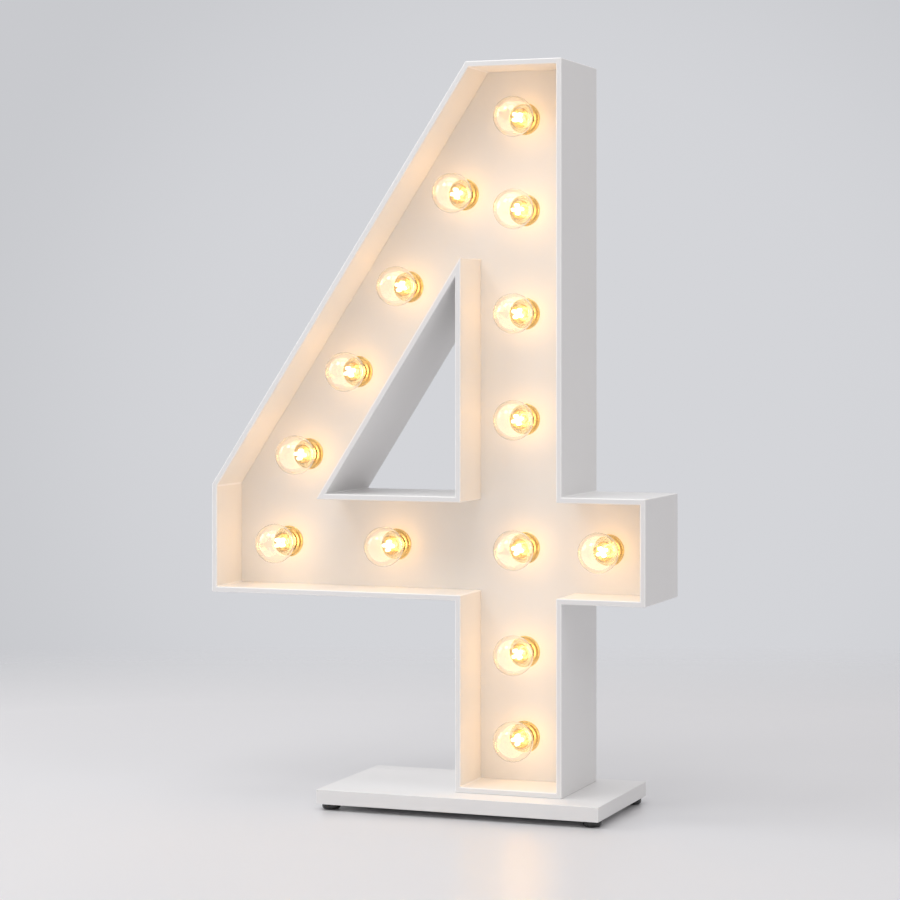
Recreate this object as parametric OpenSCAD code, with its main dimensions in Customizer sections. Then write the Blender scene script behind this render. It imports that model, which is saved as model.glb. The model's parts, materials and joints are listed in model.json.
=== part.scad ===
// Free-standing marquee number 4: a boxed channel numeral on a flat base, lit by screw-in globe bulbs.
// Millimetres, +Z up, front towards -Y, origin on the floor under the middle of the object.

/* [Number] */
// Height of the number above its base plate
number_h = 900; // [860:1:1000]
// Width of the upright stem
stem_w = 138; // [128:1:160]
// Reach of the crossbar to the left of the stem
bar_reach = 331; // [310:1:380]
// Reach of the short arm to the right of the stem
arm_reach = 106; // [96:1:130]
// Height of the crossbar's underside above the base plate
bar_z = 236; // [220:1:280]
// Height of the crossbar
bar_h = 130; // [120:1:150]
// Height of the crossbar's left end, where the diagonal starts
bar_end_h = 137.5; // [130:0.5:160]
// Distance of the top edge's left end from the line of the stem's left side
apex_in = 13.6; // [5:0.1:30]
// Width of the diagonal stroke
diagonal_w = 136.8; // [128:0.1:146]
// Turn of the counter's slanted side from the diagonal, towards the upright
counter_lean = 0.56; // [0:0.01:1.5]
// Fall of the counter's lower edge below the arm's top edge
counter_drop = 2; // [0:0.1:4]
// Depth of the channel from front rim to back
depth = 142; // [138:1:170]
// Thickness of the channel walls
wall_t = 7; // [4:0.5:8]

/* [Panels] */
// Depth of the face panel behind the front rim
recess = 74; // [72:1:78]
// Thickness of the face panel
panel_t = 6; // [4:0.5:8]
// Thickness of the rear cover
cover_t = 6; // [4:0.5:8]
// Side of a square glue block
block_w = 18; // [14:1:20]
// Height of the mounting block in the foot of the stem
mount_block_h = 30; // [26:1:33]

/* [Bulb places] */
// Offset of the stem's bulb row from the stem's centre line, to the right
stem_row_off = -1.9; // [-4:0.1:4]
// Offset of the crossbar's bulb row from the bar's centre line, upwards
bar_row_off = -3.2; // [-4:0.1:4]
// Offset of the lowest diagonal bulb from the stroke's centre line, inwards
diagonal_low_off = -1.3; // [-4:0.1:4]
// Offset of the highest diagonal bulb from the stroke's centre line, inwards
diagonal_high_off = -3.4; // [-5:0.1:4]
// Distance of the lowest bulb from the foot of the stem
bottom_in = 62.5; // [62:0.5:75]
// Distance of the highest bulb from the top edge
top_in = 67.5; // [60:0.5:80]
// Distance of the crossbar's first bulb from its left end
bar_end_in = 76.5; // [70:0.5:90]
// Distance of the arm's bulb from the arm's end
arm_end_in = 67.5; // [60:0.5:75]
// Distance of the lowest diagonal bulb along the stroke from its lower corner
diagonal_low_in = 88.5; // [80:0.5:100]
// Distance of the highest diagonal bulb along the stroke from the apex
diagonal_high_in = 149; // [140:0.5:165]
// Place of the second stem bulb between the lowest one and the crossbar's row
lower_share = 0.45; // [0.4:0.01:0.5]
// Place of the first bulb above the crossbar between its row and the highest bulb
upper_share_1 = 0.3; // [0.27:0.001:0.33]
// Place of the second bulb above the crossbar
upper_share_2 = 0.546; // [0.5:0.001:0.6]
// Place of the third bulb above the crossbar
upper_share_3 = 0.787; // [0.75:0.001:0.82]
// Place of the second diagonal bulb between the lowest and the highest
diagonal_share_1 = 0.322; // [0.29:0.001:0.36]
// Place of the third diagonal bulb
diagonal_share_2 = 0.649; // [0.6:0.001:0.69]
// Place of the middle crossbar bulb between the first one and the stem's row
bar_share = 0.465; // [0.4:0.001:0.55]

/* [Lampholder] */
// Outside diameter of the brass collar
collar_d = 40; // [39:0.5:44]
// Diameter of the collar's foot on the face panel
collar_foot_d = 36.4; // [35.8:0.2:37.4]
// Height of the collar's widest edge in front of the face panel
collar_edge_h = 5; // [4.6:0.1:5.4]
// Height of the collar in front of the face panel
collar_h = 9.5; // [8.5:0.1:10.5]
// Height of the collar's seat on the lampholder's skirt
collar_rim = 3; // [2.4:0.1:4]
// Radius of the collar's rolled edge
collar_edge = 1; // [0.8:0.1:1.2]
// Fall of the shoulder from the rolled edge to the foot of the raised ring
collar_shoulder = 0.3; // [0.1:0.1:0.5]
// Radius of the raised ring's outer edge
collar_ring_edge = 0.6; // [0.4:0.1:0.7]
// Thickness of the collar's front lip
collar_lip = 0.8; // [0.6:0.1:1.2]
// Fall of the collar's dished lip towards its bore
collar_dish = 0.3; // [0.1:0.1:0.6]
// Wall of the collar's raised ring round the lampholder's nose
collar_sheet = 1; // [0.8:0.05:1.2]
// Width of the lampholder's nose that the collar's lip covers
lip_cover = 0.6; // [0.3:0.05:0.75]
// Wall of the lampholder's nose round the screw shell
nose_wall = 1.65; // [1.3:0.05:1.8]
// Depth of the screw shell's rim inside the nose
shell_recess = 5; // [4:0.5:6]
// Diameter of the skirt that passes through the face panel
skirt_d = 34; // [33:0.5:35]
// Diameter of the flange behind the face panel
flange_d = 46; // [42:0.5:48]
// Thickness of the flange
flange_t = 3; // [2:0.1:4]
// Diameter of the lampholder body behind the flange
holder_d = 38; // [36:0.5:40]
// Distance of the lampholder's back from the face panel's front
holder_l = 28; // [27:0.5:31]
// Thickness of the lampholder's end wall
holder_floor = 4; // [3:0.1:4.5]
// Wall of the brass screw shell
shell_t = 0.6; // [0.4:0.1:0.8]
// Width and thickness of the spring contact
leaf = [6, 0.8]; // [0.5:0.1:8]
// Diameter of a terminal post
post_d = 6; // [5:0.1:7]
// Sideways and upward distance of the terminal posts from the lampholder's axis
post_out = 8; // [7:0.1:9]
// Length of the live post
live_post = 4; // [3:0.1:4.5]
// Length of the neutral post
neutral_post = 8.2; // [7.8:0.1:9]

/* [Bulb] */
// Diameter of the glass globe
globe_d = 50; // [46:0.5:52]
// Distance of the globe's centre in front of the face panel
globe_out = 49; // [45:0.5:51]
// Diameter of the glass neck
neck_d = 23.4; // [22:0.1:24]
// Radius of the curve between neck and globe
neck_round = 7; // [4:0.5:10]
// Thickness of the glass
glass_t = 1; // [0.6:0.1:1.4]
// Diameter of the screw cap
cap_d = 26.4; // [26:0.1:26.6]
// Distance of the cap's rim in front of the face panel
cap_out = 11; // [10:0.1:12]
// Length of the cap's threaded shell
cap_l = 20; // [19:0.5:21]
// Depth of the cap's seat for the glass neck
cap_seat = 8; // [6:0.5:10]
// Length of the black insulator at the end of the cap
insulator_l = 5; // [4:0.1:6]
// Diameter and height of the tip contact
tip = [9, 2]; // [1:0.1:10]
// Diameter of a filament
filament_d = 2.2; // [1.6:0.1:2.6]
// Length of a filament
filament_l = 16; // [14:0.5:20]
// Number of filaments
filament_n = 4; // [3:1:6]
// Diameter of the circle that the filaments stand on
filament_ring = 13; // [10:0.5:15]
// Distance of the filaments' middle in front of the face panel
filament_out = 36.5; // [34:0.5:42]

/* [Base] */
// Width of the base plate
base_w = 366; // [340:1:420]
// Depth of the base plate
base_d = 201; // [194:1:240]
// Thickness of the base plate
base_t = 18; // [18:1:25]
// Reach of the base plate to the left of the stem
base_left = 169; // [150:1:180]
// Reach of the base plate in front of the number
base_front = 39.5; // [30:0.5:44]
// Diameter of the base bolts
bolt_d = 8; // [6:0.5:8]
// Diameter and height of a bolt head
bolt_head = [13, 8]; // [6:0.5:14]
// Length of a base bolt above the base plate
bolt_reach = 28; // [20:1:32]
// Sideways and backward distance of the bolts from their middle
bolt_off = [38, 14]; // [10:0.5:44]

/* [Feet] */
// Diameter of a foot pad
foot_d = 23.2; // [18:0.2:25]
// Height of a foot pad
foot_h = 8; // [6:0.5:12]
// Radius of the pad's rounded lower edge
foot_round = 4; // [2:0.5:5]
// Diameter of the levelling stud
stud_d = 8; // [6:0.5:8]
// Length of the levelling stud in the base plate
stud_l = 15; // [12:0.5:16]
// Sideways distance of a foot's axis from the base plate's end
foot_in_x = 13; // [13:0.5:20]
// Distance of a foot's axis from the base plate's front or back edge
foot_in_y = 18; // [14:0.5:24]

/* [Back fittings] */
// Height of the inlet and the switch above the base plate
fitting_z = 117; // [105:1:125]
// Distance of the inlet and of the switch from the stem's centre line
fitting_off = 24; // [22:0.5:34]
// Width, height and thickness of the inlet's flange
inlet_flange = [30, 19, 2]; // [2:0.5:32]
// Width, height and depth of the inlet's body
inlet_body = [23, 13.4, 12]; // [8:0.2:24]
// Depth of the inlet's socket
inlet_socket = 11.5; // [10:0.5:12]
// Radius of the socket's round ends
inlet_round = 4.4; // [4:0.1:5]
// Distance of each inlet pin from the middle
inlet_pin_off = 4.3; // [4:0.1:5]
// Diameter and length of an inlet pin
inlet_pin = [2.4, 9]; // [2:0.1:10]
// Thickness, height and length of a rear connection tab
tab = [0.8, 4.8, 5]; // [0.5:0.1:6]
// Width of the switch rocker
rocker_w = 10.4; // [9:0.1:12]
// Distance of the rocker's round ends from its pivot
rocker_r = 8.4; // [7:0.1:10]
// Angle of the rocker's ends above its pivot
rocker_rise = 28; // [24:1:32]
// Tilt of the rocker to either side
rocker_tilt = 11; // [8:1:13]
// Depth of the rocker's pivot below the switch bezel's face
pivot_depth = 3; // [2.5:0.1:3.5]
// Diameter of the rocker's pivot
pivot_d = 2.5; // [2:0.1:3]
// Width of the bezel round the switch body
bezel_rim = 1.5; // [1:0.1:3]
// Thickness of the bezel
bezel_t = 2; // [1.5:0.1:2.5]
// Wall of the switch body
switch_wall = 1.2; // [1:0.1:1.6]
// Depth of the switch body behind the bezel
switch_depth = 12; // [11:0.5:13]
// Diameter of a cover screw
screw_d = 3.5; // [3:0.1:4]
// Diameter and height of a cover screw's head
screw_head = [7.5, 2.4]; // [1:0.1:9]
// Length of a cover screw in its block
screw_reach = 16; // [10:0.5:20]
// Diameter of a wire
wire_d = 2.2; // [1.6:0.1:2.3]
// Diameter and thickness of a wire's ring terminal
ring_end = [8, 2.6]; // [2.4:0.1:9]

/* [Clearances] */
// Gap round a bulb in its lampholder
bulb_gap = 0.3; // [0.2:0.05:0.5]
// Gap between the edge of a panel and the walls
board_gap = 0.1; // [0:0.05:0.3]
// Radial gap of a pin or stud that turns in its bore
running_gap = 0.05; // [0.02:0.01:0.1]
// Gap between seated pieces of one assembly
seat_gap = 0.05; // [0.02:0.01:0.1]
// Gap round the switch rocker
rocker_gap = 0.3; // [0.2:0.05:0.5]
// Gap round a bolt, screw, skirt or housing in its hole
hole_gap = 0.25; // [0.1:0.05:0.4]

/* [Hidden] */
$fn = 64;

// Places along X, measured from the middle of the object
total_w = bar_reach + stem_w + arm_reach;
bar_l = -total_w / 2;
stem_l = bar_l + bar_reach;
stem_r = stem_l + stem_w;
arm_r = stem_r + arm_reach;
stem_mid = (stem_l + stem_r) / 2;
apex_x = stem_l + apex_in;
base_l = stem_l - base_left;

// Places along Y: the base plate is centred on the origin
front_y = -base_d / 2 + base_front;
back_y = front_y + depth;
panel_y = front_y + recess;
room_front = panel_y + panel_t;
room_back = back_y - cover_t;
room_mid = (room_front + room_back) / 2;

// Places along Z
base_top = foot_h + base_t;
bar_low = base_top + bar_z;
bar_top = bar_low + bar_h;
top_z = base_top + number_h;

// Plane geometry of the outlines, as [x, z] points in counter-clockwise order
function unit(v) = v / norm(v);
function left_of(v) = [-v[1], v[0]];
function meet(p, u, q, v) = p + u * (cross(q - p, v) / cross(u, v));
function moved_in(points, d) = let (n = len(points)) [
    for (i = [0:n - 1])
        let (
            before = unit(points[i] - points[(i + n - 1) % n]),
            after = unit(points[(i + 1) % n] - points[i])
        )
        meet(points[i] + left_of(before) * d, before, points[i] + left_of(after) * d, after)
];
function mix(a, b, share) = a + (b - a) * share;
function turned(p, angle) = [p[0] * cos(angle) - p[1] * sin(angle), p[0] * sin(angle) + p[1] * cos(angle)];

outline = [
    [stem_l, base_top], [stem_r, base_top], [stem_r, bar_low], [arm_r, bar_low],
    [arm_r, bar_top], [stem_r, bar_top], [stem_r, top_z], [apex_x, top_z],
    [bar_l, bar_low + bar_end_h], [bar_l, bar_low], [stem_l, bar_low]
];
apex = outline[7];
corner = outline[8];
diagonal_dir = unit(apex - corner);
diagonal_in = -left_of(diagonal_dir);
diagonal_l = norm(apex - corner);

// The counter lies one stroke inside the diagonal, over the bar and left of the stem
counter_low = bar_top - counter_drop;
counter_foot = meet(corner + diagonal_in * diagonal_w, diagonal_dir, [0, counter_low], [1, 0]);
counter_dir = turned(diagonal_dir, counter_lean);
counter = [
    counter_foot,
    [stem_l, counter_low],
    meet(counter_foot, counter_dir, [stem_l, 0], [0, 1])
];

inner_outline = moved_in(outline, wall_t);
outer_counter = moved_in(counter, -wall_t);

WALLS = [
    "wall_stem_bottom", "wall_stem_right_lower", "wall_arm_underside", "wall_arm_end", "wall_arm_top",
    "wall_stem_right_upper", "wall_top", "wall_diagonal", "wall_bar_end", "wall_bar_underside",
    "wall_stem_left"
];
COUNTER_WALLS = ["counter_bottom", "counter_right", "counter_diagonal"];

// Bulb places on the face panel, as [x, z]
stem_row = stem_mid + stem_row_off;
bar_row = bar_low + bar_h / 2 + bar_row_off;
lowest = base_top + bottom_in;
highest = top_z - top_in;
bar_first = bar_l + bar_end_in;
diagonal_low = corner + diagonal_dir * diagonal_low_in + diagonal_in * (diagonal_w / 2 + diagonal_low_off);
diagonal_high = apex - diagonal_dir * diagonal_high_in + diagonal_in * (diagonal_w / 2 + diagonal_high_off);
stem_heights = [
    lowest, mix(lowest, bar_row, lower_share), bar_row,
    for (share = [upper_share_1, upper_share_2, upper_share_3, 1]) mix(bar_row, highest, share)
];
bulbs = [
    for (z = stem_heights) [stem_row, z],
    for (share = [0, diagonal_share_1, diagonal_share_2, 1]) mix(diagonal_low, diagonal_high, share),
    [bar_first, bar_row],
    [mix(bar_first, stem_row, bar_share), bar_row],
    [arm_r - arm_end_in, bar_row]
];

// The wiring runs up the stem to the bar, round the bar and the diagonal, and down the upper stem
wire_chain = [0, 1, 2, 12, 11, 7, 8, 9, 10, 6, 5, 4, 3];
arm_branch = [2, 13];
feed_bulb = 1;

function number_text(i) = str(i < 9 ? "0" : "", i + 1);
function glass_name(i) = str("bulb_", number_text(i), "_globe");
function screw_name(i) = str("bulb_", number_text(i), "_screw_base");

FEET = ["foot_front_left", "foot_front_right", "foot_rear_left", "foot_rear_right"];
foot_places = [
    for (y = [-base_d / 2 + foot_in_y, base_d / 2 - foot_in_y])
        for (x = [base_l + foot_in_x, base_l + base_w - foot_in_x]) [x, y]
];
bolt_places = [
    for (x = [-1, 1]) for (y = [-1, 1]) [stem_mid + x * bolt_off[0], room_mid + y * bolt_off[1]]
];

// Lampholder heights, counted forwards from the face panel's front
collar_lip_under = collar_h - collar_dish - collar_lip;
nose_top = collar_lip_under - seat_gap;
skirt_top = collar_rim - seat_gap;
shell_r = cap_d / 2 + bulb_gap;
holder_bore_r = shell_r + shell_t + seat_gap;
nose_r = holder_bore_r + nose_wall;
holder_bottom = holder_floor - holder_l;
cap_end = cap_out - cap_l;
cap_floor = cap_out - cap_seat;
tip_end = cap_end - insulator_l - tip[1];
stem_end = filament_out - filament_l / 2;

// Glue blocks: the corner that touches the walls and the angle of the square
upper_mid = mix(bar_top, top_z, 0.5);
counter_mid = (counter[0][0] + counter[1][0]) / 2;
inward_angle = atan2(diagonal_in[1], diagonal_in[0]);
function on_diagonal(share) = corner + diagonal_in * wall_t + diagonal_dir * diagonal_l * share;
block_places = [
    [inner_outline[9], 0],
    [[mix(bar_first, stem_row, bar_share / 2), inner_outline[9][1]], 0],
    [inner_outline[3], 90],
    [inner_outline[4], 180],
    [[inner_outline[5][0], upper_mid], 90],
    [inner_outline[6], 180],
    [inner_outline[7], 270],
    [on_diagonal(0.25), inward_angle],
    [on_diagonal(0.65), inward_angle],
    [[counter_mid, outer_counter[0][1]], 270],
    [[outer_counter[1][0], mix(counter[1][1], counter[2][1], 0.5)], 0]
];
screw_places = concat(
    [for (place = block_places) place[0] + turned([block_w / 2, block_w / 2], place[1])],
    [[stem_mid, base_top + wall_t + mount_block_h / 2]]
);

// Terminal posts and wires
live_at = [post_out, -post_out];
neutral_at = [-post_out, post_out];
live_y = panel_y + holder_l + live_post;
neutral_y = panel_y + holder_l + neutral_post;

// Back fittings
inlet_at = [stem_mid - fitting_off, base_top + fitting_z];
switch_at = [stem_mid + fitting_off, base_top + fitting_z];
opening_half = rocker_r + rocker_gap;
switch_size = [rocker_w + 2 * rocker_gap + 2 * switch_wall, 2 * opening_half + 2 * switch_wall];
inlet_tab_end = back_y - inlet_body[2] - tab[2];
switch_tab_end = back_y - switch_depth - tab[2];
switch_tab_off = switch_size[1] / 4;

// Colours
paint = [0.93, 0.92, 0.91];
brass = [0.82, 0.62, 0.28];
black = [0.06, 0.06, 0.06];
steel = [0.7, 0.7, 0.72];
pine = [0.8, 0.66, 0.46];

// A flat shape in X and Z, drawn out along Y
module slab(y_front, y_back) {
    translate([0, y_back, 0]) rotate([90, 0, 0]) linear_extrude(y_back - y_front) children();
}

// A revolved piece on the face panel, with its height running forwards
module on_panel(place) {
    translate([place[0], panel_y, place[1]]) rotate([90, 0, 0]) children();
}

// A piece on the back of the cover, with its height running backwards
module on_back(place) {
    translate([place[0], back_y, place[1]]) rotate([-90, 0, 0]) children();
}

module rod(from, to, d) {
    way = to - from;
    long = norm(way);
    translate(from) rotate([0, acos(way[2] / long), atan2(way[1], way[0])]) cylinder(d = d, h = long);
}

function arc(centre, r, from, to, steps = 8) = [
    for (i = [0:steps]) let (a = mix(from, to, i / steps)) centre + r * [cos(a), sin(a)]
];

module wall(outer, inner, i) {
    next = (i + 1) % len(outer);
    slab(front_y, back_y) polygon([outer[i], outer[next], inner[next], inner[i]]);
}

module outer_wall(i) {
    color(paint)
    difference() {
        wall(outline, inner_outline, i);
        if (WALLS[i] == "wall_stem_bottom") bolt_holes(base_top - 1, wall_t + 2);
    }
}

// The wall round the counter stands outside the counter's own edge
module counter_wall(i) {
    color(paint) wall(outer_counter, counter, i);
}

module number_shape() {
    difference() {
        polygon(moved_in(outline, wall_t + board_gap));
        polygon(moved_in(counter, -wall_t - board_gap));
    }
}

module face_panel() {
    color(paint)
    slab(panel_y, room_front)
    difference() {
        number_shape();
        for (place = bulbs) translate(place) circle(d = skirt_d + 2 * hole_gap);
    }
}

module centred_square(size, gap) {
    square([size[0] + 2 * gap, size[1] + 2 * gap], center = true);
}

module rear_cover() {
    color(paint)
    slab(room_back, back_y)
    difference() {
        number_shape();
        for (place = screw_places) translate(place) circle(d = screw_d + 2 * hole_gap);
        translate(inlet_at) centred_square(inlet_body, hole_gap);
        translate(switch_at) centred_square(switch_size, hole_gap);
    }
}

module glue_blocks() {
    color(pine)
    for (place = block_places)
        slab(room_front, room_back)
        translate(place[0]) rotate(place[1])
        difference() {
            square(block_w);
            translate([block_w / 2, block_w / 2]) circle(d = screw_d + 2 * running_gap);
        }
}

module cover_screws() {
    color(steel)
    for (place = screw_places)
        on_back(place) {
            rotate_extrude()
            intersection() {
                translate([0, screw_head[1] - screw_head[0]]) circle(r = screw_head[0]);
                square([screw_head[0] / 2, screw_head[1]]);
            }
            translate([0, 0, -cover_t - screw_reach])
                cylinder(d = screw_d, h = cover_t + screw_reach + 0.5);
        }
}

module bolt_holes(z, h) {
    for (place = bolt_places) translate([place[0], place[1], z]) cylinder(d = bolt_d + 2 * hole_gap, h = h);
}

module mounting_block() {
    color(pine)
    difference() {
        translate([stem_l + wall_t, room_front, base_top + wall_t])
            cube([stem_w - 2 * wall_t, room_back - room_front, mount_block_h]);
        bolt_holes(base_top, wall_t + mount_block_h + 1);
        on_back([stem_mid, base_top + wall_t + mount_block_h / 2])
            translate([0, 0, -cover_t - screw_reach - 1])
            cylinder(d = screw_d + 2 * running_gap, h = screw_reach + 2);
    }
}

module base_plate() {
    head_room = bolt_head[1] + 1;
    color(paint)
    difference() {
        translate([base_l, -base_d / 2, foot_h]) cube([base_w, base_d, base_t]);
        for (place = foot_places)
            translate([place[0], place[1], foot_h - 1])
            cylinder(d = stud_d + 2 * running_gap, h = stud_l + 1.5);
        bolt_holes(foot_h, base_t + 1);
        for (place = bolt_places)
            translate([place[0], place[1], foot_h - 1]) cylinder(d = bolt_head[0] + 2, h = head_room + 1);
    }
}

module base_bolts() {
    head_top = foot_h + bolt_head[1] + 1;
    color(steel)
    for (place = bolt_places)
        translate([place[0], place[1], head_top]) {
            translate([0, 0, -bolt_head[1]])
            difference() {
                cylinder(d = bolt_head[0], h = bolt_head[1]);
                translate([0, 0, -1]) cylinder(d = bolt_head[0] / 2, h = bolt_head[1] / 2 + 1, $fn = 6);
            }
            cylinder(d = bolt_d, h = base_top + bolt_reach - head_top);
        }
}

module foot(i) {
    r = foot_d / 2;
    rounding = min(foot_round, foot_h - 1);
    color(black)
    translate([foot_places[i][0], foot_places[i][1], 0])
    rotate_extrude()
    polygon(concat(
        [[0, 0]],
        arc([r - rounding, rounding], rounding, -90, 0),
        [[r, foot_h], [stud_d / 2, foot_h], [stud_d / 2, foot_h + stud_l], [0, foot_h + stud_l]]
    ));
}

// Turned collar: it flares from its foot to a rolled edge, steps up to a ring and turns in over the nose
module lampholder_collars() {
    rim_inside = skirt_d / 2 + seat_gap;
    nose_inside = nose_r + seat_gap;
    ring_r = nose_inside + collar_sheet;
    lip_inside = nose_r - lip_cover;
    edge_at = [collar_d / 2 - collar_edge, collar_edge_h];
    shoulder_h = collar_edge_h + collar_edge - collar_shoulder;
    color(brass)
    for (place = bulbs)
        on_panel(place)
        rotate_extrude()
        polygon(concat(
            [[rim_inside, 0], [collar_foot_d / 2, 0]],
            arc(edge_at, collar_edge, -45, 90, 5),
            [[ring_r, shoulder_h]],
            arc([ring_r - collar_ring_edge, collar_h - collar_ring_edge], collar_ring_edge, 0, 90, 3),
            [
                [lip_inside, collar_h - collar_dish],
                [lip_inside, collar_lip_under], [nose_inside, collar_lip_under],
                [nose_inside, collar_rim], [rim_inside, collar_rim]
            ]
        ));
}

module lampholder_bodies() {
    flange_back = -panel_t - flange_t;
    color(black)
    for (place = bulbs)
        on_panel(place)
        rotate_extrude()
        polygon([
            [holder_bore_r, nose_top], [nose_r, nose_top],
            [nose_r, skirt_top], [skirt_d / 2, skirt_top],
            [skirt_d / 2, -panel_t], [flange_d / 2, -panel_t],
            [flange_d / 2, flange_back], [holder_d / 2, flange_back],
            [holder_d / 2 - 2, -holder_l], [0, -holder_l],
            [0, holder_bottom], [holder_bore_r, holder_bottom]
        ]);
}

// The spring contact bends up from the lampholder's floor to just short of the bulb's tip
module spring_contact() {
    low = holder_bottom + seat_gap;
    high = tip_end - bulb_gap;
    foot_x = -holder_bore_r + 3;
    bend_x = -leaf[0] / 3;
    end_x = tip[0] / 2;
    rotate([90, 0, 0])
    linear_extrude(leaf[0], center = true)
    polygon([
        [foot_x, low], [bend_x, low], [end_x, high - leaf[1]],
        [end_x, high], [bend_x - leaf[1] / 2, low + leaf[1]], [foot_x, low + leaf[1]]
    ]);
}

module terminal_post(offset, h) {
    translate([offset[0], offset[1], -holder_l - h]) cylinder(d = post_d, h = h);
}

module lampholder_contacts() {
    shell_end = cap_end - 2;
    shell_top = nose_top - shell_recess;
    color(brass)
    for (place = bulbs)
        on_panel(place) {
            rotate_extrude() translate([shell_r, shell_end]) square([shell_t, shell_top - shell_end]);
            spring_contact();
            terminal_post(live_at, live_post);
            terminal_post(neutral_at, neutral_post);
        }
}

module wire_run(chain, offset, y) {
    mid_y = y + ring_end[1] / 2;
    for (k = [1:len(chain) - 1]) {
        from = bulbs[chain[k - 1]] + offset;
        to = bulbs[chain[k]] + offset;
        rod([from[0], mid_y, from[1]], [to[0], mid_y, to[1]], wire_d);
    }
}

module conductor(offset, y) {
    wire_run(wire_chain, offset, y);
    wire_run(arm_branch, offset, y);
    for (place = bulbs)
        translate([place[0] + offset[0], y, place[1] + offset[1]])
        rotate([-90, 0, 0])
        cylinder(d = ring_end[0], h = ring_end[1]);
}

// A feed wire from the end of a rear tab to the ring terminal of the first lampholder
module feed(tab_x, tab_z, tab_end, offset, y) {
    to = bulbs[feed_bulb] + offset;
    rod([tab_x, tab_end - wire_d / 2 - seat_gap, tab_z], [to[0], y + ring_end[1] / 2, to[1]], wire_d);
}

module wiring() {
    link_y = min(inlet_tab_end, switch_tab_end) - wire_d / 2 - seat_gap;
    color([0.75, 0.2, 0.15]) {
        conductor(live_at, live_y);
        feed(switch_at[0], switch_at[1] + switch_tab_off, switch_tab_end, live_at, live_y);
        rod(
            [inlet_at[0] + inlet_pin_off, link_y, inlet_at[1]],
            [switch_at[0], link_y, switch_at[1] - switch_tab_off], wire_d
        );
    }
    color([0.15, 0.3, 0.7]) {
        conductor(neutral_at, neutral_y);
        feed(inlet_at[0] - inlet_pin_off, inlet_at[1], inlet_tab_end, neutral_at, neutral_y);
    }
}

module rear_tab(x, y, from) {
    translate([x - tab[0] / 2, y - tab[1] / 2, from - tab[2] - seat_gap]) cube(tab);
}

module power_inlet() {
    outside = inlet_flange[2];
    floor_at = outside - inlet_socket;
    color(black)
    on_back(inlet_at) {
        difference() {
            union() {
                linear_extrude(outside) centred_square(inlet_flange, 0);
                translate([0, 0, -inlet_body[2]])
                linear_extrude(inlet_body[2] + 0.5)
                centred_square(inlet_body, 0);
            }
            translate([0, 0, floor_at])
            linear_extrude(inlet_socket + 1) {
                square([2 * inlet_pin_off, 2 * inlet_round], center = true);
                for (side = [-1, 1]) translate([side * inlet_pin_off, 0]) circle(r = inlet_round);
            }
        }
        for (side = [-1, 1]) {
            translate([side * inlet_pin_off, 0, floor_at + seat_gap])
            cylinder(d = inlet_pin[0], h = inlet_pin[1]);
            rear_tab(side * inlet_pin_off, 0, -inlet_body[2]);
        }
    }
}

module pivot(gap, l) {
    translate([0, 0, bezel_t - pivot_depth])
    rotate([0, 90, 0])
    cylinder(d = pivot_d + 2 * gap, h = l, center = true);
}

module switch_frame() {
    opening = [rocker_w + 2 * rocker_gap, 2 * opening_half];
    well = switch_depth - switch_wall;
    color(black)
    on_back(switch_at) {
        difference() {
            union() {
                linear_extrude(bezel_t) centred_square(switch_size, bezel_rim);
                translate([0, 0, -switch_depth])
                linear_extrude(switch_depth + 0.5)
                centred_square(switch_size, 0);
            }
            translate([0, 0, -well]) linear_extrude(well + bezel_t + 1) centred_square(opening, 0);
            pivot(running_gap, switch_size[0] - switch_wall / 2);
        }
        for (side = [-1, 1]) rear_tab(0, side * switch_tab_off, -switch_depth);
    }
}

// The rocker rests with its upper end pressed in, which is on
module switch_rocker() {
    sink = rocker_rise / 2;
    ends = concat(
        arc([0, 0], rocker_r, -sink, rocker_rise, 6),
        [[0, rocker_r * sin(rocker_rise) * 0.6]],
        arc([0, 0], rocker_r, 180 - rocker_rise, 180 + sink, 6)
    );
    color(black)
    on_back(switch_at) {
        translate([0, 0, bezel_t - pivot_depth])
            rotate([90, 0, 90])
            linear_extrude(rocker_w, center = true)
            rotate(rocker_tilt) polygon(ends);
        pivot(0, rocker_w + 2 * rocker_gap + switch_wall / 2);
    }
}

// Glass of the bulb, shrunk by inset for its inside; the neck flows into the globe along an arc
module bulb_profile(inset, neck_low) {
    globe_r = globe_d / 2 - inset;
    neck_r = neck_d / 2 - inset;
    round_r = neck_round + inset;
    reach = globe_r + round_r;
    round_at = [neck_r + round_r, globe_out - sqrt(reach * reach - pow(neck_r + round_r, 2))];
    joint_angle = atan2(globe_out - round_at[1], -round_at[0]);
    polygon(concat(
        [[0, neck_low], [neck_r, neck_low]],
        arc(round_at, round_r, 180, joint_angle, 6),
        arc([0, globe_out], globe_r, joint_angle - 180, 90, 24)
    ));
}

module bulb_globe(i) {
    neck_low = cap_floor + seat_gap;
    color([1, 0.95, 0.85, 0.35])
    on_panel(bulbs[i])
    rotate_extrude()
    difference() {
        bulb_profile(0, neck_low);
        bulb_profile(glass_t, neck_low - 1);
    }
}

// Screw cap with its insulator and tip contact
module screw_cap() {
    r = cap_d / 2;
    insulator_end = cap_end - insulator_l;
    seat_r = neck_d / 2 + seat_gap;
    rotate_extrude()
        polygon([
            [0, cap_end], [r, cap_end], [r, cap_out], [seat_r, cap_out], [seat_r, cap_floor], [0, cap_floor]
        ]);
    rotate_extrude()
        polygon([
            [0, insulator_end], [tip[0] / 2 + 1, insulator_end],
            [r - 0.5, cap_end - seat_gap], [0, cap_end - seat_gap]
        ]);
    rotate_extrude()
        polygon([
            [0, tip_end], [tip[0] / 2 - 1, tip_end], [tip[0] / 2, tip_end + 1],
            [tip[0] / 2, insulator_end - seat_gap], [0, insulator_end - seat_gap]
        ]);
}

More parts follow.
